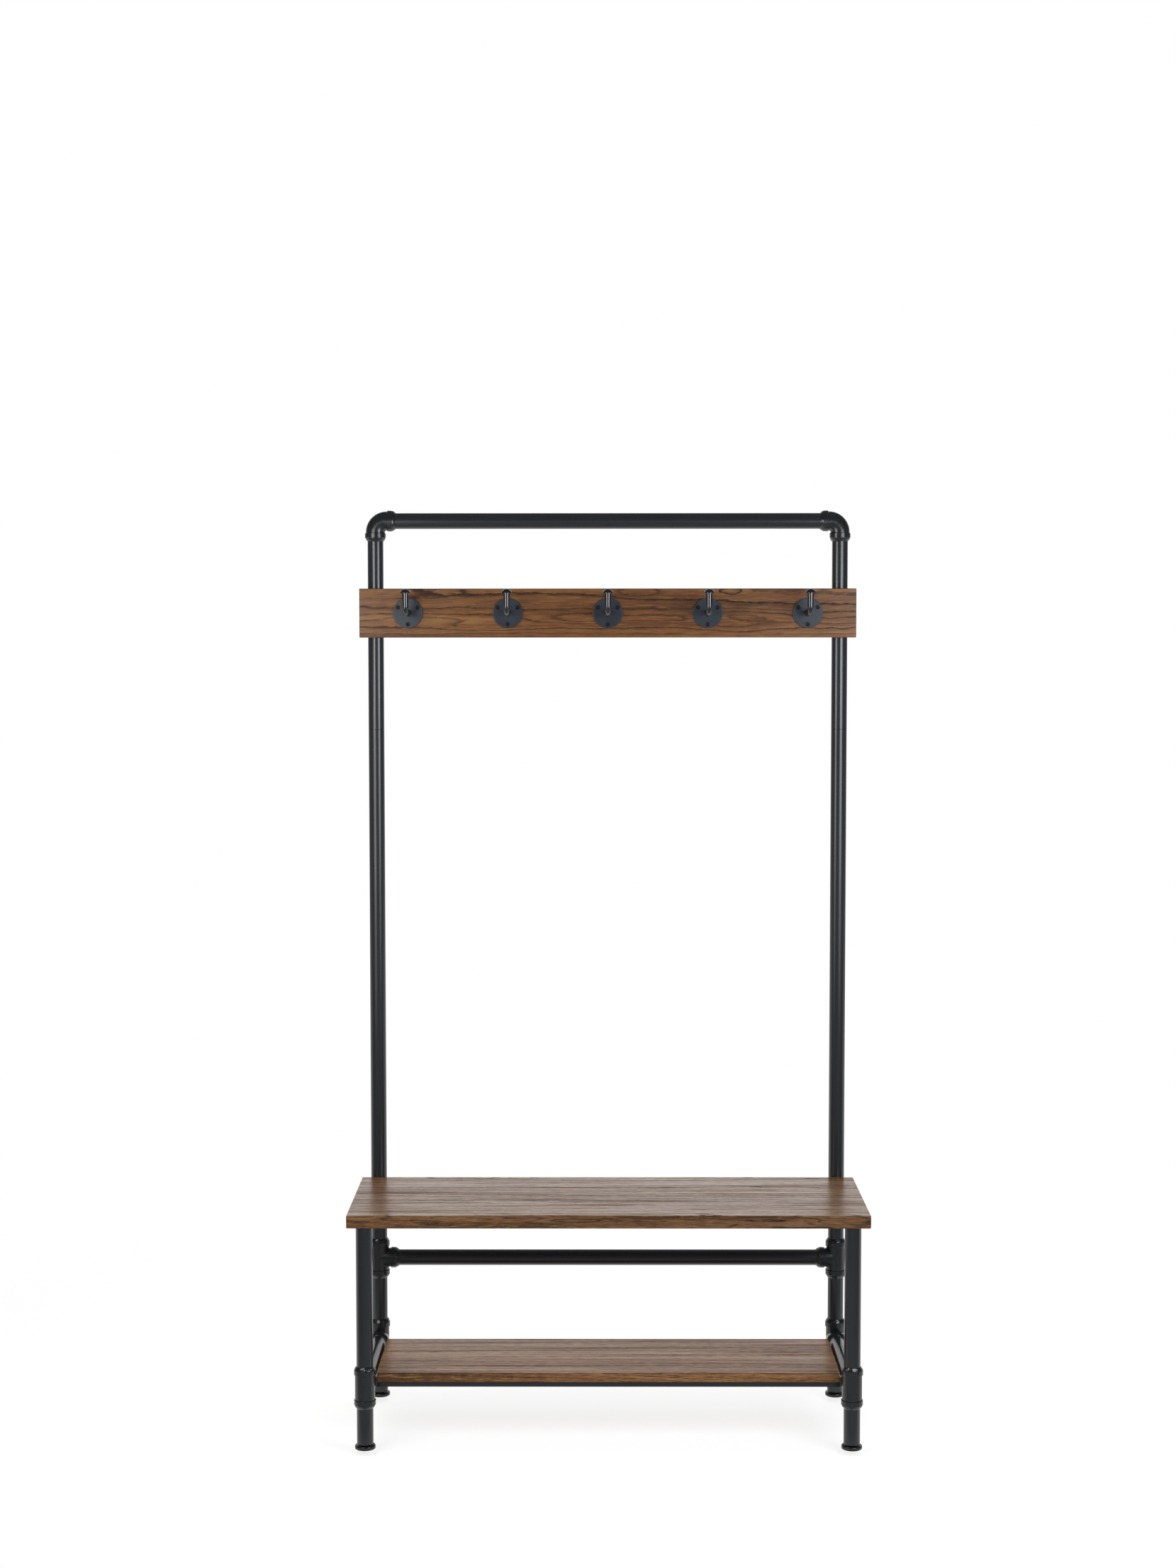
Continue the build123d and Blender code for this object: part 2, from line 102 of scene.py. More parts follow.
class Bench:
    # the node tree of a material or of the world
    def __init__(self, owner):
        owner.use_nodes = True
        self.tree = owner.node_tree
        self.tree.nodes.clear()

    def make(self, kind, settings, sockets, output=0):
        # any node: its type, its settings, then the values or links of its sockets
        node = self.tree.nodes.new(kind)
        for name, value in settings.items():
            if name == "stops":
                self.setStops(node.color_ramp, value)
            else:
                setattr(node, name, value)
        for key, value in sockets.items():
            if isinstance(value, Knob):
                self.tree.links.new(value.socket, node.inputs[key])
            else:
                node.inputs[key].default_value = value
        return Knob(self, node.outputs[output]) if node.outputs else None

    def setStops(self, ramp, stops):
        while len(ramp.elements) < len(stops):
            ramp.elements.new(0.5)
        for element, (place, colour) in zip(ramp.elements, stops):
            element.position = place
            element.color = (*colour, 1)

    def place(self):
        return self.make("ShaderNodeTexCoord", {}, {}, "Object")

    def scaled(self, vector, factors, shift=(0, 0, 0)):
        # each axis of a vector times its factor, plus a shift
        return self.make(
            "ShaderNodeVectorMath", {"operation": "MULTIPLY_ADD"}, {0: vector, 1: factors, 2: shift}
        )

    def noise(self, vector, detail=2.0, roughness=0.5, output=0):
        sockets = {"Vector": vector, "Scale": 1.0, "Detail": detail, "Roughness": roughness}
        return self.make("ShaderNodeTexNoise", {}, sockets, output)

    def blend(self, factor, first, second, way="MIX"):
        # two colours mixed by a factor
        first = first if isinstance(first, Knob) else (*first, 1)
        second = second if isinstance(second, Knob) else (*second, 1)
        settings = {"data_type": "RGBA", "blend_type": way, "clamp_factor": True}
        return self.make("ShaderNodeMix", settings, {0: factor, 6: first, 7: second}, 2)

    def bump(self, height, depth):
        # height is 0 to 1, depth is the relief in metres
        sockets = {"Height": height, "Distance": depth, "Strength": 1.0}
        return self.make("ShaderNodeBump", {}, sockets)

    def finish(self, sockets):
        shader = self.make("ShaderNodeBsdfPrincipled", {}, sockets)
        self.make("ShaderNodeOutputMaterial", {}, {"Surface": shader})


def atLeast(floor, share):
    # a share of 0 to 1, moved up so that it starts at a floor
    return floor + share * (1 - floor)


def fromHex(text):
    # a colour written as it looks on a screen, as linear light
    parts = [int(text[i:i + 2], 16) / 255 for i in (0, 2, 4)]
    return tuple(p / 12.92 if p <= 0.04045 else ((p + 0.055) / 1.055) ** 2.4 for p in parts)


def newMaterial(name):
    material = bpy.data.materials.new(name)
    return material, Bench(material)


def grain(bench, wood, place):
    # Growth rings round the tree's own centre line, which runs nearly along X beside the board:
    # the ring number is the distance from that line over the ring width, warped by slow noise.
    slow = bench.noise(bench.scaled(place, wood["waveScale"], wood["seed"]), 2.0, 0.45, 1)
    warp = bench.scaled(slow, (wood["wave"],) * 3, (-wood["wave"] / 2,) * 3)
    bent = bench.make("ShaderNodeVectorMath", {"operation": "ADD"}, {0: place, 1: warp})
    along = bent.axis("X")
    aside = bent.axis("Y") - wood["heart"][0] + along * wood["lean"][0]
    above = bent.axis("Z") - wood["heart"][1] + along * wood["lean"][1]
    ring = (aside * aside + above * above) ** 0.5 / wood["ringWidth"]
    for middle, size, lift in wood["swells"]:
        ring = ring + swell(bench, place, middle, size, lift)
    # the rings' widths vary, so slow noise of the ring number is added to it
    sockets = {"W": ring * wood["spreadScale"], "Scale": 1.0, "Detail": 1.0}
    spread = bench.make("ShaderNodeTexNoise", {"noise_dimensions": "1D"}, sockets)
    ripple = bench.noise(bench.scaled(place, wood["rippleScale"], wood["seed"]), 2.0, 0.5)
    ragged = bench.noise(bench.scaled(place, wood["raggedScale"]), 2.0, 0.6)
    ring = ring + (spread - 0.5) * wood["spread"] + (ripple - 0.5) * wood["ripple"]
    # on the board's long edges the rings swoop up and down
    swoop = bench.noise(bench.scaled(place, wood["swoopScale"], wood["seed"]), 1.0, 0.5)
    ring = ring + (swoop - 0.5) * wood["swoop"] * longEdge(bench, wood, place, wood["swoopDepth"])
    return ring + (ragged - 0.5) * wood["ragged"]


def longEdge(bench, wood, place, depth):
    # 1 on the board's two long edges, 0 from a depth inwards: the distance from the middle line
    low, high = wood["edges"]
    half = (high - low) / 2
    off = (place.axis("Y") - (low + high) / 2).math("ABSOLUTE")
    return off.smooth(half - depth, half - depth * wood["edgeStart"])


swellReach = 3.0  # a bell ends at so many times its size


def swell(bench, place, middle, size, lift):
    # pushes the rings out round a knot or a bulge in the trunk: a bell of the distance from its
    # middle, with a size for each axis and a height counted in rings
    factors = tuple(1 / s for s in size)
    shift = tuple(-m / s for m, s in zip(middle, size))
    off = bench.scaled(place, factors, shift)
    length = bench.make("ShaderNodeVectorMath", {"operation": "LENGTH"}, {0: off}, 1)
    return (1 - length.smooth(0.0, swellReach)) * lift


arrisWidth = (0.0004, 0.0026)


def arris(bench, place, low, high):
    # 1 on the board's edges, where the two smallest distances to its outer planes add up to little
    middle, half = (low + high) / 2, (high - low) / 2
    shifted = bench.scaled(place, (1, 1, 1), tuple(-middle))
    gaps = [half[i] - shifted.axis("XYZ"[i]).math("ABSOLUTE") for i in range(3)]
    largest = gaps[0].math("MAXIMUM", gaps[1]).math("MAXIMUM", gaps[2])
    return 1 - (gaps[0] + gaps[1] + gaps[2] - largest).smooth(*arrisWidth)


def woodMaterial(name, wood, node):
    material, bench = newMaterial(name)
    place = bench.place()
    ring = grain(bench, wood, place)
    phase = ring.math("FRACT")
    luck = bench.make(
        "ShaderNodeTexWhiteNoise", {"noise_dimensions": "1D"}, {"W": ring.math("FLOOR")}
    ).smooth(wood["faint"], wood["boldest"])
    fibre = bench.noise(bench.scaled(place, wood["fibreScale"]), 3.0, 0.65)
    streak = bench.noise(bench.scaled(place, wood["streakScale"], wood["seed"]), 3.0, 0.6)
    groove = bench.noise(bench.scaled(place, wood["grooveScale"], wood["seed"]), 2.0, 0.6)
    dashes = bench.noise(bench.scaled(place, wood["dashScale"]), 1.0, 0.5)
    cloud = bench.noise(bench.scaled(place, wood["cloudScale"], wood["seed"]), 2.0, 0.5)
    # the board's two long edge faces, where the ring lines are boldest and a painted shade darkens
    # the wood
    side = longEdge(bench, wood, place, wood["sideDepth"])
    # a ring starts with a dark row of pores, sharp on one side and broken into short dashes,
    # and a soft brown shade follows it
    lineFall = (wood["lineShare"] * wood["lineStart"], wood["lineShare"])
    row = phase.smooth(0.0, wood["lineRise"]) * (1 - phase.smooth(*lineFall))
    row = row * (wood["line"] + side * (1 - wood["line"]))
    line = row * atLeast(0.25, luck) * atLeast(0.55, dashes.smooth(*wood["dashRamp"]))
    halo = (1 - phase.smooth(*wood["haloRamp"])) * atLeast(0.2, luck)
    pores = dashes.smooth(*wood["poreRamp"]) * atLeast(0.25, halo)
    furrow = groove.smooth(*wood["furrowRamp"])
    edge = arris(bench, place, *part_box(node))
    # from the broadest marks to the finest
    tone = bench.blend(cloud.smooth(*wood["cloudRamp"]), wood["pale"], wood["warm"])
    for mark, share in ((streak, "streak"), (fibre, "fibre")):
        brownRamp, lightRamp = wood[share + "Ramps"]
        tone = bench.blend(mark.smooth(*brownRamp) * wood[share], tone, wood["brown"])
        tone = bench.blend(mark.smooth(*lightRamp) * wood[share], tone, wood["light"])
    tone = bench.blend(furrow * wood["furrow"], tone, wood["brown"])
    tone = bench.blend(halo * wood["halo"], tone, wood["brown"])
    tone = bench.blend(pores * wood["pores"], tone, wood["dark"])
    tone = bench.blend(line, tone, wood["dark"])
    # painted shade: the board's two long edge faces are darkened by multiplying with a colour
    tone = bench.blend(side, tone, wood["sidePaintedShade"], "MULTIPLY")
    worn, wornMore = wood["edgeDark"]
    tone = bench.blend(edge * (worn + cloud * wornMore), tone, wood["dark"])
    # the lacquer sinks into the pores and furrows, which leaves them dull
    sunk = line * wood["dullLine"] + furrow * wood["dullFurrow"] + pores * wood["dullPores"]
    sunk = sunk + (fibre - 0.5) * wood["dullFibre"] + (streak - 0.5) * wood["dullStreak"]
    relief = fibre * wood["fibreHeight"] - line * wood["lineDepth"] - pores * wood["poreDepth"]
    relief = relief - groove * wood["furrowDepth"]
    bench.finish({
        "Base Color": tone,
        "Roughness": wood["roughness"] + line * wood["lineRoughness"],
        "Specular IOR Level": wood["gloss"],
        "Coat Weight": wood["lacquer"] * (1 - sunk.math("MINIMUM", wood["dullest"])),
        "Coat Roughness": wood["sheen"],
        "Coat IOR": wood["lacquerIor"],
        "Normal": bench.bump(relief, wood["relief"]),
    })
    return material


def middleOf(node):
    low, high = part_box(node)
    return (low + high) / 2


stainTones = {
    "light": "87643B",
    "pale": "785330",
    "warm": "6C4627",
    "brown": "493222",
    "dark": "2B1D16",
}


def stainTintedAndLit(*tint):
    # the five tones of the stain, each times a factor for red, green and blue: a tint of the wood's
    # own colour, but on the shelf a brightening that is painted light
    return {name: tuple(np.multiply(tint, fromHex(text))) for name, text in stainTones.items()}


anyWood = {
    **stainTintedAndLit(0.95, 0.95, 0.95),
    "waveScale": (2.6, 9.0, 9.0),
    "rippleScale": (22.0, 70.0, 70.0),
    "raggedScale": (50.0, 620.0, 620.0),
    "fibreScale": (30.0, 380.0, 380.0),
    "streakScale": (1.6, 50.0, 50.0),
    "grooveScale": (3.0, 110.0, 110.0),
    "dashScale": (190.0, 1500.0, 1500.0),
    "cloudScale": (3.0, 12.0, 12.0),
    "spreadScale": 0.31,
    "spread": 1.0,  # these three are counted in rings
    "ripple": 0.45,
    "ragged": 0.40,
    "faint": 0.15,  # draws below this leave a ring its faintest, above the next its boldest
    "boldest": 0.95,
    "lineShare": 0.24,  # the dark row ends at this share of a ring
    "lineRise": 0.05,
    "lineStart": 0.35,
    "haloRamp": (0.05, 0.75),
    "dashRamp": (0.34, 0.56),
    "poreRamp": (0.58, 0.70),
    "furrowRamp": (0.52, 0.70),
    "cloudRamp": (0.35, 0.65),
    "streakRamps": ((0.48, 0.72), (0.50, 0.28)),  # the brown side, then the light side
    "fibreRamps": ((0.48, 0.72), (0.50, 0.30)),
    "edgeDark": (0.25, 0.3),
    "line": 0.95,
    "halo": 0.35,
    "pores": 0.5,
    "fibre": 0.6,
    "streak": 0.6,
    "furrow": 0.25,
    "dullLine": 0.6,
    "dullFurrow": 0.4,
    "dullStreak": 0.3,
    "dullFibre": 0.5,
    "dullPores": 0.3,
    "dullest": 0.9,
    "fibreHeight": 0.25,
    "lineDepth": 0.6,
    "poreDepth": 0.3,
    "furrowDepth": 1.0,
    "roughness": 0.5,
    "lineRoughness": 0.15,
    "gloss": 0.1,
    "lacquer": 0.9,
    "lacquerIor": 1.5,
    "sheen": 0.30,
    "relief": 0.00018,
    "swells": (),
    "swoopScale": (5.0, 10.0, 60.0),
    "swoopDepth": 0.020,
    "swoop": 0.0,
    "sideDepth": 0.001,
    "edgeStart": 0.1,
    "sidePaintedShade": (1.0, 1.0, 1.0),
    "edges": (-0.1, 0.1),
}
boardMiddle = middleOf("hook_board")


def bulge(along, up, length, height, lift):
    # a swell that goes right through the hook board, placed from its middle
    middle = (along, boardMiddle.y, boardMiddle.z + up)
    return middle, (length, 0.06, height), lift


hookBoardWood = {
    **anyWood,
    **stainTintedAndLit(0.95, 0.85, 0.74),
    "seed": (3.1, 0.4, 7.2),
    "heart": (boardMiddle.y + 0.040, boardMiddle.z + 0.050),
    "lean": (0.012, -0.006),
    "ringWidth": 0.0092,
    "lineShare": 0.34,
    "wave": 0.012,
    "ripple": 0.60,
    "ragged": 0.50,
    "swells": (
        bulge(-0.235, -0.026, 0.050, 0.0052, -1.5),
        bulge(-0.380, -0.013, 0.045, 0.0060, 0.9),
        bulge(-0.050, -0.013, 0.062, 0.0066, -2.0),
        bulge(0.120, -0.013, 0.052, 0.0058, -1.9),
        bulge(0.060, 0.041, 0.024, 0.0050, -1.5),
        bulge(0.247, 0.045, 0.016, 0.0045, 1.4),
        bulge(0.270, -0.004, 0.050, 0.0060, 1.2),
        bulge(0.250, -0.030, 0.040, 0.0070, -0.8),
        bulge(-0.407, -0.036, 0.003, 0.0028, 1.3),
        bulge(-0.450, 0.042, 0.035, 0.0050, 1.0),
        bulge(-0.120, 0.030, 0.060, 0.0060, 0.7),
    ),
    "lacquer": 0.45,
    "furrow": 0.10,
    "streak": 0.85,
    "halo": 0.62,
}
seatMiddle = middleOf("seat_board")
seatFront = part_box("seat_board")[0].y
seatWood = {
    **anyWood,
    **stainTintedAndLit(1.14, 1.16, 1.16),
    "edges": [corner.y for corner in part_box("seat_board")],
    "seed": (1.7, 5.3, 2.9),
    "heart": (seatMiddle.y + 0.30, seatMiddle.z - 0.11),
    "lean": (0.02, 0.03),
    "ringWidth": 0.0105,
    "waveScale": (3.2, 13.0, 13.0),
    "wave": 0.045,
    "rippleScale": (9.0, 34.0, 34.0),
    "ripple": 1.3,
    "lineShare": 0.42,
    "halo": 0.5,
    "streak": 0.8,
    "dullLine": 1.0,
    "dullFurrow": 0.9,
    "dullStreak": 2.0,
    "dullFibre": 1.3,
    "dullPores": 0.7,
    "fibreScale": (42.0, 300.0, 300.0),
    "fibre": 0.9,
    "furrowDepth": 3.0,
    "lacquer": 1.0,
    "swoop": 9.0,
    # painted shade that darkens the seat's long edge faces, blue most
    "sidePaintedShade": (0.80, 0.75, 0.67),
    "swells": (
        ((-0.09, seatFront, seatMiddle.z), (0.035, 0.012, 0.006), 1.6),
        ((0.07, seatFront, seatMiddle.z + 0.004), (0.030, 0.012, 0.005), -1.5),
        ((0.22, seatFront, seatMiddle.z - 0.003), (0.040, 0.014, 0.006), 1.8),
        ((0.36, seatFront, seatMiddle.z), (0.035, 0.012, 0.006), -1.4),
    ),
    "relief": 0.00040,
}
shelfMiddle = middleOf("shelf_board")
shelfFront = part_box("shelf_board")[0].y
shelfWood = {
    **anyWood,
    # painted light: the shelf's tones are made nearly twice the stain's, to make up for the shade
    # that the seat casts on the shelf
    **stainTintedAndLit(1.95, 1.97, 1.95),
    "brown": fromHex("5A3C28"),
    "dark": fromHex("2E1E17"),
    "edges": [corner.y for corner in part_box("shelf_board")],
    "seed": (6.3, 2.2, 4.8),
    "heart": (shelfMiddle.y + 0.22, shelfMiddle.z - 0.27),
    "lean": (-0.015, 0.02),
    "ringWidth": 0.0020,
    "wave": 0.010,
    "line": 0.70,
    "faint": 0.3,
    "lineShare": 0.34,
    "streak": 0.8,
    "lacquer": 0.66,
    # painted shade that darkens the shelf's long edge faces
    "sidePaintedShade": (0.74, 0.71, 0.68),
    "fibreScale": (42.0, 320.0, 320.0),
    "fibre": 0.9,
    "dullFibre": 1.0,
    "dullPores": 0.6,
    "swells": (((0.31, shelfFront, shelfMiddle.z), (0.030, 0.012, 0.006), 2.2),),
    "dullLine": 0.9,
    "dullFurrow": 0.9,
    "dullStreak": 2.2,
    "furrowDepth": 2.5,
    "relief": 0.00025,
}


def coatMaterial(name, coat):
    # a coloured coat with a fine orange-peel relief and slightly uneven gloss
    material, bench = newMaterial(name)
    place = bench.place()
    peel = bench.noise(bench.scaled(place, (coat["peelScale"],) * 3), 2.0, 0.5)
    patch = bench.noise(bench.scaled(place, (coat["patchScale"],) * 3), 3.0, 0.6)
    pits = bench.noise(bench.scaled(place, (coat["pitScale"],) * 3), 2.0, 0.6)
    pits = pits.smooth(*coat["pitRamp"])
    tone = bench.blend(patch.smooth(*coat["patchRamp"]), coat["colour"], coat["shade"])
    tone = bench.blend(pits * coat["pitDust"], tone, coat["dust"])
    relief = peel * coat["peel"] + pits * coat["pits"]
    bench.finish({
        "Base Color": tone,
        "Roughness": (
            coat["roughness"] + (patch - 0.5) * coat["unevenness"] + pits * coat["pitRoughness"]
        ),
        "Specular IOR Level": coat["gloss"],
        "Normal": bench.bump(relief, coat["relief"]),
    })
    return material


pipeCoat = {
    "colour": fromHex("212227"),
    "shade": fromHex("1D1F23"),
    "dust": fromHex("2A2C30"),
    "peelScale": 260.0,
    "patchScale": 9.0,
    "pitScale": 1500.0,
    "patchRamp": (0.3, 0.7),
    "pitRamp": (0.45, 0.75),
    "pitDust": 0.35,
    "pitRoughness": 0.05,
    "peel": 0.9,
    "pits": 0.1,
    "relief": 0.000004,
    "roughness": 0.22,
    "unevenness": 0.05,
    "gloss": 0.5,
}
castCoat = {
    **pipeCoat,
    "colour": fromHex("1D1F22"),
    "shade": fromHex("17181B"),
    "peelScale": 320.0,
    "patchScale": 60.0,
    "pitScale": 1400.0,
    "pits": 0.4,
    "relief": 0.000035,
    "roughness": 0.20,
    "unevenness": 0.08,
}
hookCoat = {
    **pipeCoat,
    "colour": fromHex("2B3038"),
    "shade": fromHex("1F242B"),
    "dust": fromHex("333841"),
    "peelScale": 600.0,
    "patchScale": 34.0,
    "roughness": 0.27,
}
armCoat = {
    **hookCoat,
    "colour": fromHex("15171B"),
    "shade": fromHex("111316"),
    "dust": fromHex("1B1E22"),
    "roughness": 0.20,
    "gloss": 0.7,
}
screwCoat = {
    **pipeCoat,
    "colour": fromHex("111113"),
    "shade": fromHex("0B0B0D"),
    "peelScale": 1500.0,
    "patchScale": 300.0,
    "roughness": 0.36,
    "gloss": 0.25,
}
footNylon = {
    **pipeCoat,
    "colour": fromHex("151516"),
    "shade": fromHex("101011"),
    "peelScale": 900.0,
    "patchScale": 80.0,
    "relief": 0.00001,
    "roughness": 0.25,
}
weldCoat = {
    **castCoat,
    "peelScale": 900.0,
    "relief": 0.00003,
    "roughness": 0.17,
}

finishes = {
    "board_wood": woodMaterial("hookBoardWood", hookBoardWood, "hook_board"),
    "seat_wood": woodMaterial("seatWood", seatWood, "seat_board"),
    "shelf_wood": woodMaterial("shelfWood", shelfWood, "shelf_board"),
    "pipe_coat": coatMaterial("pipeCoat", pipeCoat),
    "cast_fitting": coatMaterial("castCoat", castCoat),
    "hook_metal": coatMaterial("hookCoat", hookCoat),
    "hook_arm": coatMaterial("armCoat", armCoat),
    "black_fastener": coatMaterial("screwCoat", screwCoat),
    "foot_plastic": coatMaterial("footNylon", footNylon),
    "weld": coatMaterial("weldCoat", weldCoat),
}


def dressNodes():
    # every node of the frame takes the finish of its slot; the two bench boards have a wood each
    own = {"seat_board": "seat_wood", "shelf_board": "shelf_wood"}
    for i in range(1, hookCount + 1):
        own[f"hook_arm_{i}"] = own[f"hook_cap_{i}"] = "hook_arm"
    for part in frame["record"]["subparts"]:
        name = part["node"]
        finish = finishes[own.get(name, part["material_slot"])]
        node = nodes[name]
        if not node.material_slots:
            node.data.materials.append(finish)
        for place in node.material_slots:
            place.material = finish


dressNodes()
print("finishes made:", len(finishes))


def gridMesh(name, points, finish, body="frame"):
    # points is a list of grids, each rows x columns x 3, closed round its columns
    corners, quads, start = [], [], 0
    for grid in points:
        rows, columns = grid.shape[:2]
        index = np.arange(rows * columns).reshape(rows, columns) + start
        turned = np.roll(index, -1, axis=1)
        quads.append(np.stack([index[:-1], turned[:-1], turned[1:], index[1:]], -1).reshape(-1, 4))
        corners.append(grid.reshape(-1, 3))
        start += rows * columns
    corners = np.concatenate(corners)
    quads = np.concatenate(quads)
    mesh = bpy.data.meshes.new(name)
    mesh.vertices.add(len(corners))
    mesh.vertices.foreach_set("co", corners.astype(np.float32).ravel())
    mesh.loops.add(quads.size)
    mesh.loops.foreach_set("vertex_index", quads.astype(np.int32).ravel())
    mesh.polygons.add(len(quads))
    mesh.polygons.foreach_set("loop_start", np.arange(0, quads.size, 4, dtype=np.int32))
    mesh.update(calc_edges=True)
    mesh.validate()
    tidy = bmesh.new()
    tidy.from_mesh(mesh)
    bmesh.ops.remove_doubles(tidy, verts=tidy.verts, dist=1e-7)
    bmesh.ops.recalc_face_normals(tidy, faces=tidy.faces)
    tidy.to_mesh(mesh)
    tidy.free()
    mesh.polygons.foreach_set("use_smooth", np.ones(len(mesh.polygons), bool))
    mesh.materials.append(finishes[finish])
    piece = bpy.data.objects.new(name, mesh)
    scene.collection.objects.link(piece)
    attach(piece, body)
    return piece


def roundGrid(radius, height, origin, axis):
    # a surface turned round an axis: radius and height are rows x columns, a column for each angle
    axis = np.array(axis, float)
    side = np.cross(axis, (0.0, 0.0, 1.0) if abs(axis[2]) < 0.9 else (1.0, 0.0, 0.0))
    side /= np.linalg.norm(side)
    other = np.cross(axis, side)
    angle = np.linspace(0, 2 * np.pi, radius.shape[1], endpoint=False)
    spoke = np.cos(angle)[:, None] * side + np.sin(angle)[:, None] * other
    return np.array(origin) + radius[..., None] * spoke + height[..., None] * axis


seam = {
    "around": 160,  # columns round a mouth
    "coneLength": 0.006,  # the fitting's own plain seam, which the lumps cover
    "coneStep": 0.0006,  # its thin end, over the tube
    "coneTop": 0.0009,  # its thick end, below the band
    "lumps": 19,
    "lumpHeight": (0.0003, 0.0011),
    "lumpWidth": (0.10, 0.19),  # radians
    "lumpShift": 0.35,  # share of the step from one lump to the next
    "lumpMiddle": (0.25, 0.7),  # place along the slope
    "lumpLength": 0.34,
    "lumpSlant": (-0.05, 0.30),
    "overrun": 1.12,  # the slope runs past the fitting's own seam
    "waver": 0.10,  # uneven length round the mouth
    "rows": 13,
    "seed": 14,
    "cover": 0.0001,  # how far the lumps' ground lies over the plain seam
    "bandRoom": 0.0002,  # how far the lumps stay below the band
    "tubeBite": 0.0002,  # how far the last row sinks into the tube
    "lastStep": 0.0003,  # and how far it stands beyond the plain seam
    "hiddenBite": 0.0004,  # the rows that close the seam lie inside the metal
    "underBand": 0.001,
    "behindMouth": 0.0006,
}


def seamGrid(origin, axis, bandRadius, tubeRadius, luck):
    # A straight slope from the band down to the tube, with lumps that overlap round the mouth:
    # each lump is a bell, slanted along the seam, and the highest lump at a point counts.
    angle = np.linspace(0, 2 * np.pi, seam["around"], endpoint=False)
    share = np.linspace(0, seam["overrun"], seam["rows"])[:, None]
    count, shift = seam["lumps"], seam["lumpShift"]
    centres = (np.arange(count) + luck.uniform(-shift, shift, count)) * 2 * np.pi / count
    middles, heights, widths, slants = (
        luck.uniform(*seam[key], count)[:, None, None]
        for key in ("lumpMiddle", "lumpHeight", "lumpWidth", "lumpSlant")
    )
    turn = angle[None, None] - centres[:, None, None] - slants * (share - 0.5)[None]
    turn = (turn + np.pi) % (2 * np.pi) - np.pi
    bells = np.exp(-(turn / widths) ** 2 - ((share[None] - middles) / seam["lumpLength"]) ** 2)
    lumps = (bells * heights).max(0)
    top = bandRadius - seam["coneTop"]
    foot = tubeRadius + seam["coneStep"]
    slope = top + (foot - top) * np.clip(share, 0, 1)
    ends = np.sin(np.pi * np.clip(share / seam["overrun"], 0, 1)) ** 0.5
    radius = np.minimum(slope + seam["cover"] + lumps * ends, bandRadius - seam["bandRoom"])
    slow = sum(np.sin(angle * k + luck.uniform(0, 6)) for k in (2, 3, 5)) / 3
    height = seam["coneLength"] * share * (1 + seam["waver"] * slow)
    # the last rows run into the tube and back under the seam, which closes it
    radius[-1] = tubeRadius - seam["tubeBite"]
    height[-1] = np.maximum(height[-1], seam["coneLength"] + seam["lastStep"])
    hidden = np.full((1, seam["around"]), tubeRadius - seam["hiddenBite"])
    under = np.full_like(hidden, top - seam["underBand"])
    rows = [under, radius, hidden, hidden, under]
    inner = np.full_like(hidden, -seam["behindMouth"])
    heights = [inner, height, height[-1:], inner, inner]
    return roundGrid(np.concatenate(rows), np.concatenate(heights), origin, axis)


def makeSeams():
    # one piece for each fitting: its seams stand at the faces of its mouths
    luck = np.random.default_rng(seam["seed"])
    tubeLow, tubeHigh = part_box("left_front_leg")
    tubeRadius = (tubeHigh.x - tubeLow.x) / 2
    for name in sorted(n for n in nodes if n.endswith("tee") or n.endswith("elbow")):
        mouths, bandRadius = mouthsOf(name, *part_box(name))
        grids = [seamGrid(place, axis, bandRadius, tubeRadius, luck) for place, axis in mouths]
        gridMesh("weld_" + name, grids, "weld")


def mouthsOf(name, low, high):
    # the run's and the branch's mouths, from the fitting's own box
    inward = 1 if name.startswith("left") else -1
    middle = (low + high) / 2
    if name.endswith("rear_tee") or name.endswith("top_elbow"):
        bandRadius = (high.y - low.y) / 2
        runX = low.x + bandRadius if inward > 0 else high.x - bandRadius
        branch = Vector((inward, 0, 0))
        branchReach = (high.x - low.x) - bandRadius
        centre = Vector((runX, middle.y, middle.z))
    else:
        bandRadius = (high.x - low.x) / 2
        toward = -1 if "rear" in name else 1
        runY = high.y - bandRadius if toward < 0 else low.y + bandRadius
        branch = Vector((0, toward, 0))
        branchReach = (high.y - low.y) - bandRadius
        centre = Vector((middle.x, runY, middle.z))
    up = Vector((0, 0, 1))
    if name.endswith("elbow"):
        centre.z = high.z - bandRadius
        reach = centre.z - low.z
        ways = (-up, branch)
    else:
        reach = (high.z - low.z) / 2
        ways = (up, -up, branch)
    reach = min(reach, branchReach) - seam["coneLength"]
    return [(centre + way * reach, way) for way in ways], bandRadius


makeSeams()
print("weld seams made")


crossScrew = {
    "around": 72,
    "slotWidth": 0.0013,
    "slotLength": 0.0050,
    "slotDepth": 0.0016,
    "taper": 0.45,  # share of the depth that is gone at a slot's end
    "blend": 0.00022,
}
plateScrew = {
    **crossScrew,
    "headRadius": 0.0042,
    "sink": 0.00042,  # how far the head lies below the plate's face
    "headDepth": 0.0027,
    "shank": 0.0021,
    "circle": 0.0225,
    "angles": (-90.0, 30.0, 150.0),
    "crownRows": 22,
    "crownShare": 0.95,  # the flat crown's share of the head's radius
    "rimDrop": 0.00015,
    "seed": 5,
}
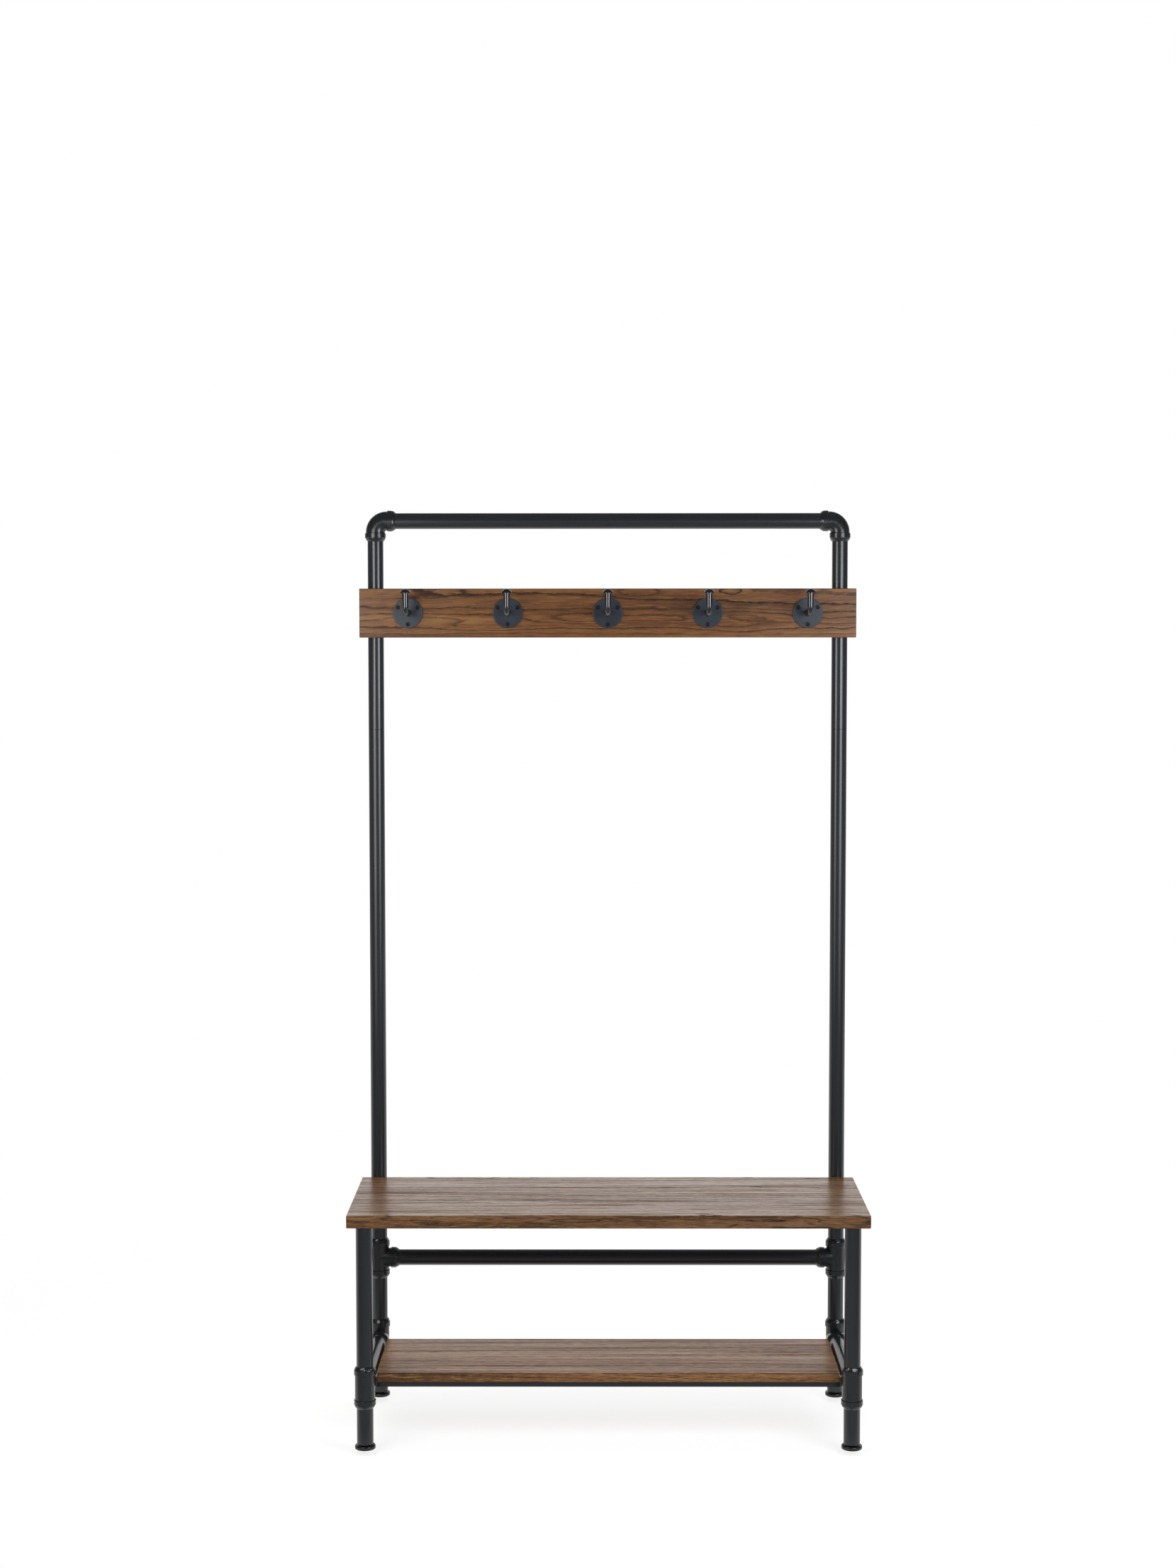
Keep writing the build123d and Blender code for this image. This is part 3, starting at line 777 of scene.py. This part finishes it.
# a dome is how far the crown falls from its middle to its rim; a rim's drop is a share of the
# head's radius
headRim = {"crownShare": 0.93, "rimDrop": 0.07, "seed": 8}
panScrew = {
    **crossScrew,
    **headRim,
    "headRadius": 0.0055,
    "headHeight": 0.0022,
    "dome": 0.0008,
    "shank": 0.0021,
    "crownRows": 26,
}
socketBolt = {
    **headRim,
    "around": 72,
    "slotWidth": 0.0050,  # across the flats
    "slotDepth": 0.0020,
    "blend": 0.00012,
    "headRadius": 0.00525,
    "headHeight": 0.0033,
    "dome": 0.0,
    "shank": 0.0030,
    "crownRows": 34,
}
tabScrewPitch = 0.018


def softStep(value, edge, width):
    # 1 well below the edge, 0 well above it
    t = np.clip((edge + width - value) / (2 * width), 0, 1)
    return t * t * (3 - 2 * t)


def crossRecess(radius, angle, head):
    # depth of a cross-shaped recess: two slots, tapered towards their ends
    x, y = radius * np.cos(angle), radius * np.sin(angle)
    half, reach, soft = head["slotWidth"] / 2, head["slotLength"] / 2, head["blend"]
    one = softStep(np.abs(y), half, soft) * softStep(np.abs(x), reach, soft)
    two = softStep(np.abs(x), half, soft) * softStep(np.abs(y), reach, soft)
    taper = 1 - head["taper"] * np.clip(radius / reach, 0, 1)
    return head["slotDepth"] * np.maximum(one, two) * taper


def hexRecess(radius, angle, head):
    # depth of a six-sided recess: inside all three pairs of flats
    flats = [np.abs(radius * np.cos(angle - k * np.pi / 3)) for k in range(3)]
    inside = softStep(np.maximum.reduce(flats), head["slotWidth"] / 2, head["blend"])
    return head["slotDepth"] * inside


def screwGrid(profile, recess, head, origin, axis, turn):
    # profile: radii and heights from the crown's middle outwards; the recess sinks the crown
    angle = np.linspace(0, 2 * np.pi, head["around"], endpoint=False)
    radius, height = (np.repeat(row[:, None], head["around"], 1) for row in profile)
    crown = (np.arange(len(radius)) < head["crownRows"])[:, None]
    height = height - crown * recess(radius, angle + turn, head)
    return roundGrid(radius, height, origin, axis)


def makeHookScrews():
    # countersunk a little below the plates' faces, three to a hook: a flat crown, a narrow rim,
    # a cone down to the shank and the shank's end
    head = plateScrew
    low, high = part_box("hook_screws")
    length = high.y - low.y
    sink, shank = head["sink"], head["shank"]
    crown = np.linspace(0, head["headRadius"] * head["crownShare"], head["crownRows"])
    radii = np.append(crown, (head["headRadius"], shank, shank, 0.0))
    tail = (-sink - head["rimDrop"], -head["headDepth"], -length, -length)
    heights = np.append(crown * 0 - sink, tail)
    luck = np.random.default_rng(head["seed"])
    grids = []
    for i in range(1, hookCount + 1):
        middle = middleOf(f"hook_plate_{i}")
        for degrees in head["angles"]:
            a = math.radians(degrees)
            x, z = head["circle"] * math.cos(a), head["circle"] * math.sin(a)
            origin = (middle.x + x, low.y, middle.z + z)
            turn = luck.uniform(0, 3)
            grids.append(screwGrid((radii, heights), crossRecess, head, origin, (0, -1, 0), turn))
    piece = gridMesh("hook_cross_screws", grids, "black_fastener")
    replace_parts(piece, "hook_screws")


def makeHeadedScrews(name, node, head, recess, axis, spots):
    # turned round its axis: a domed crown, a rounded rim, the head's side, the shank and its end
    low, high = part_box(node)
    along = 1 if axis[1] else 2
    length = high[along] - low[along]
    face = (high if axis[along] > 0 else low)[along]
    rim, shank, tall = head["headRadius"], head["shank"], head["headHeight"]
    share = np.linspace(0, 1, head["crownRows"])
    radii = np.append(rim * head["crownShare"] * share, (rim, rim, shank, shank, 0.0))
    tail = (-head["dome"] - rim * head["rimDrop"], -tall, -tall, -length, -length)
    heights = np.append(-head["dome"] * share**2, tail)
    luck = np.random.default_rng(head["seed"])
    grids = []
    for across, other in spots(low, high, rim):
        origin = (across, face, other) if along == 1 else (across, other, face)
        turn = luck.uniform(0, 3)
        grids.append(screwGrid((radii, heights), recess, head, origin, axis, turn))
    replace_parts(gridMesh(name, grids, "black_fastener"), node)


def shelfSpots(low, high, rim):
    # three under each bar
    ends = (low.x + rim, (low.x + high.x) / 2, high.x - rim)
    return [(x, y) for y in (low.y + rim, high.y - rim) for x in ends]


def tabSpots(low, high, rim):
    # a pair under each tab
    y = (low.y + high.y) / 2
    left, right = low.x + rim, high.x - rim
    return [(x, y) for x in (left, left + tabScrewPitch, right - tabScrewPitch, right)]


def boardSpots(low, high, rim):
    # one above the other at each upright
    return [(x, z) for x in (low.x + rim, high.x - rim) for z in (low.z + rim, high.z - rim)]


makeHookScrews()
down, back = (0, 0, -1), (0, 1, 0)
makeHeadedScrews("shelf_cross_screws", "shelf_screws", panScrew, crossRecess, down, shelfSpots)
makeHeadedScrews("tab_cross_screws", "seat_tab_screws", panScrew, crossRecess, down, tabSpots)
makeHeadedScrews("board_socket_bolts", "board_bolts", socketBolt, hexRecess, back, boardSpots)
print("screws made")


studio = {
    "floorSize": 14.0,
    "floorColour": 0.86,
    "shadowShare": 0.36,  # share of the lamps' light that the floor shows near the legs
    "litLevel": 0.55,  # how bright the lamps alone leave that floor
    "fill": 0.14,  # all-round light
    "ceiling": 0.12,  # what the gloss sees above
    "room": 0.18,  # and around
    "sheetInFront": 0.25,  # and on the floor before the object
    "litReach": (0.7, 2.2),  # the lit part of the floor ends between these radii
    "dimReach": (-0.30, -0.17),  # the dim sheet's rear edge, along Y
    "whiteWall": (0.50, 0.80),  # the bright sheet behind, by its direction's Y
    "whiteTop": (0.45, 0.70),  # and its upper edge, by Z
    "ceilingFrom": (0.05, 0.6),
    "floorFrom": (-0.3, 0.0),
    "footRoom": 0.0002,  # from the floor to a foot that is screwed all the way out
}


def makeFloor():
    # the floor lies low enough for the feet's whole travel
    travel = max(joint["range_m"][1] for joint in frame["record"]["behaviour"]["joints"])
    level = -travel - studio["footRoom"]
    half = studio["floorSize"] / 2
    mesh = bpy.data.meshes.new("floor")
    corners = [(x * half, y * half, level) for x, y in ((-1, -1), (1, -1), (1, 1), (-1, 1))]
    mesh.from_pydata(corners, [], [(0, 1, 2, 3)])
    floor = bpy.data.objects.new("floor", mesh)
    scene.collection.objects.link(floor)
    material, bench = newMaterial("paleFloor")
    # white to the camera and the gloss; near the object a share is lit, so it keeps the shadow
    away = bench.make("ShaderNodeVectorMath", {"operation": "LENGTH"}, {0: bench.place()}, 1)
    share = (1 - away.smooth(*studio["litReach"])) * studio["shadowShare"]
    seen = seenRays(bench, ("Is Camera Ray", "Is Glossy Ray", "Is Transmission Ray"))
    grey = studio["floorColour"]
    colour = bench.blend(seen, (grey,) * 3, bench.blend(share, (0, 0, 0), (1, 1, 1)))
    lit = bench.make("ShaderNodeBsdfDiffuse", {}, {"Color": colour})
    # the gloss finds the sheet in front of the object dimmer than round it
    glossy = seenRays(bench, ("Is Glossy Ray",))
    nearer = 1 - bench.place().axis("Y").smooth(*studio["dimReach"])
    dimmer = nearer * (1 - studio["sheetInFront"])
    strength = seen * (1 - share * studio["litLevel"]) * (1 - glossy * dimmer)
    white = bench.make("ShaderNodeEmission", {}, {"Color": (1, 1, 1, 1), "Strength": strength})
    both = bench.make("ShaderNodeAddShader", {}, {0: lit, 1: white})
    bench.make("ShaderNodeOutputMaterial", {}, {"Surface": both})
    mesh.materials.append(material)


def seenRays(bench, names):
    # 1 for the named kinds of ray
    rays = [bench.make("ShaderNodeLightPath", {}, {}, name) for name in names]
    seen = rays[0]
    for ray in rays[1:]:
        seen = seen.math("MAXIMUM", ray)
    return seen


def makeWorld():
    # white to the camera; the gloss sees the white sheet behind and dimmer walls elsewhere
    world = bpy.data.worlds.new("studio")
    scene.world = world
    bench = Bench(world)
    way = bench.make("ShaderNodeTexCoord", {}, {}, "Generated")
    height = way.axis("Z")
    sheet = way.axis("Y").smooth(*studio["whiteWall"]) * (1 - height.smooth(*studio["whiteTop"]))
    drop = studio["room"] - studio["ceiling"]
    walls = studio["room"] - height.smooth(*studio["ceilingFrom"]) * drop
    walls = walls + (1 - height.smooth(*studio["floorFrom"])) * (1 - studio["room"])
    gloss = walls.math("MAXIMUM", sheet)
    glossy = seenRays(bench, ("Is Glossy Ray",))
    seen = seenRays(bench, ("Is Camera Ray", "Is Transmission Ray"))
    strength = studio["fill"] + glossy * (gloss - studio["fill"])
    strength = strength + seen * (1 - strength)
    light = bench.make("ShaderNodeBackground", {}, {"Color": (1, 1, 1, 1), "Strength": strength})
    bench.make("ShaderNodeOutputWorld", {}, {"Surface": light})


# level is the brightness of a lamp's face; gloss says whether the gloss shows it
lamps = {
    "leftHigh": {"at": (-0.906, -0.96, 1.62), "size": (0.65, 0.52), "level": 7.4, "gloss": True},
    "leftMiddle": {"at": (-0.906, -0.96, 1.14), "size": (0.65, 0.44), "level": 4.2, "gloss": True},
    "leftLow": {"at": (-0.906, -0.96, 0.77), "size": (0.65, 0.30), "level": 1.5, "gloss": True},
    "rightHigh": {"at": (1.14, -1.32, 1.62), "size": (0.90, 0.52), "level": 9.4, "gloss": True},
    "rightMiddle": {"at": (1.14, -1.32, 1.14), "size": (0.90, 0.44), "level": 5.3, "gloss": True},
    "rightLow": {"at": (1.14, -1.32, 0.77), "size": (0.90, 0.30), "level": 1.7, "gloss": True},
    "above": {"at": (0.0, 0.5, 3.3), "size": (2.6, 2.0), "level": 2.0, "gloss": False},
    "behind": {"at": (0.5, 3.4, 1.9), "size": (2.4, 1.6), "level": 1.8, "gloss": False},
    "front": {"at": (0.1, -2.3, 0.45), "size": (1.8, 0.5), "level": 3.0, "gloss": False},
}
lampTints = {"left": (1.0, 1.0, 0.96), "right": (0.93, 0.98, 1.06)}
lampAim = (0.0, 0.1, 0.9)


def makeLamps():
    for name, lamp in lamps.items():
        light = bpy.data.lights.new(name, "AREA")
        light.shape = "RECTANGLE"
        light.size, light.size_y = lamp["size"]
        # the power of a flat lamp is the brightness of its face x pi x its area
        light.energy = lamp["level"] * math.pi * light.size * light.size_y
        for side, tint in lampTints.items():
            if name.startswith(side):
                light.color = tint
        holder = bpy.data.objects.new(name, light)
        scene.collection.objects.link(holder)
        holder.location = lamp["at"]
        aim = Vector(lampAim)
        if lamp["at"][1] < 0:
            aim.z = lamp["at"][2]  # the front ones stand upright
        aim = aim - Vector(lamp["at"])
        holder.rotation_euler = aim.to_track_quat("-Z", "Y").to_euler()
        holder.visible_camera = False
        holder.visible_glossy = lamp["gloss"]


makeFloor()
makeWorld()
makeLamps()
print("studio made")


eye = {
    "at": (-0.0260, -4.7246, 1.5627),
    "turn": -0.161,  # degrees, positive towards +X
    "dip": 3.556,
    "roll": -0.021,
    "lens": 55.52,
}


def makeCamera():
    data = bpy.data.cameras.new("camera")
    data.sensor_width = 36.0
    data.lens = eye["lens"]
    data.dof.use_dof = False
    camera = bpy.data.objects.new("camera", data)
    scene.collection.objects.link(camera)
    turn, dip, roll = (math.radians(eye[k]) for k in ("turn", "dip", "roll"))
    level = math.cos(dip)
    forward = Vector((math.sin(turn) * level, math.cos(turn) * level, -math.sin(dip)))
    right = Vector((math.cos(turn), -math.sin(turn), 0))
    up = right.cross(forward)
    rightRolled = math.cos(roll) * right + math.sin(roll) * up
    upRolled = math.cos(roll) * up - math.sin(roll) * right
    axes = Matrix((rightRolled, upRolled, -forward)).transposed()
    camera.matrix_world = Matrix.Translation(eye["at"]) @ axes.to_4x4()
    scene.camera = camera


makeCamera()
scene.view_settings.view_transform = "Standard"
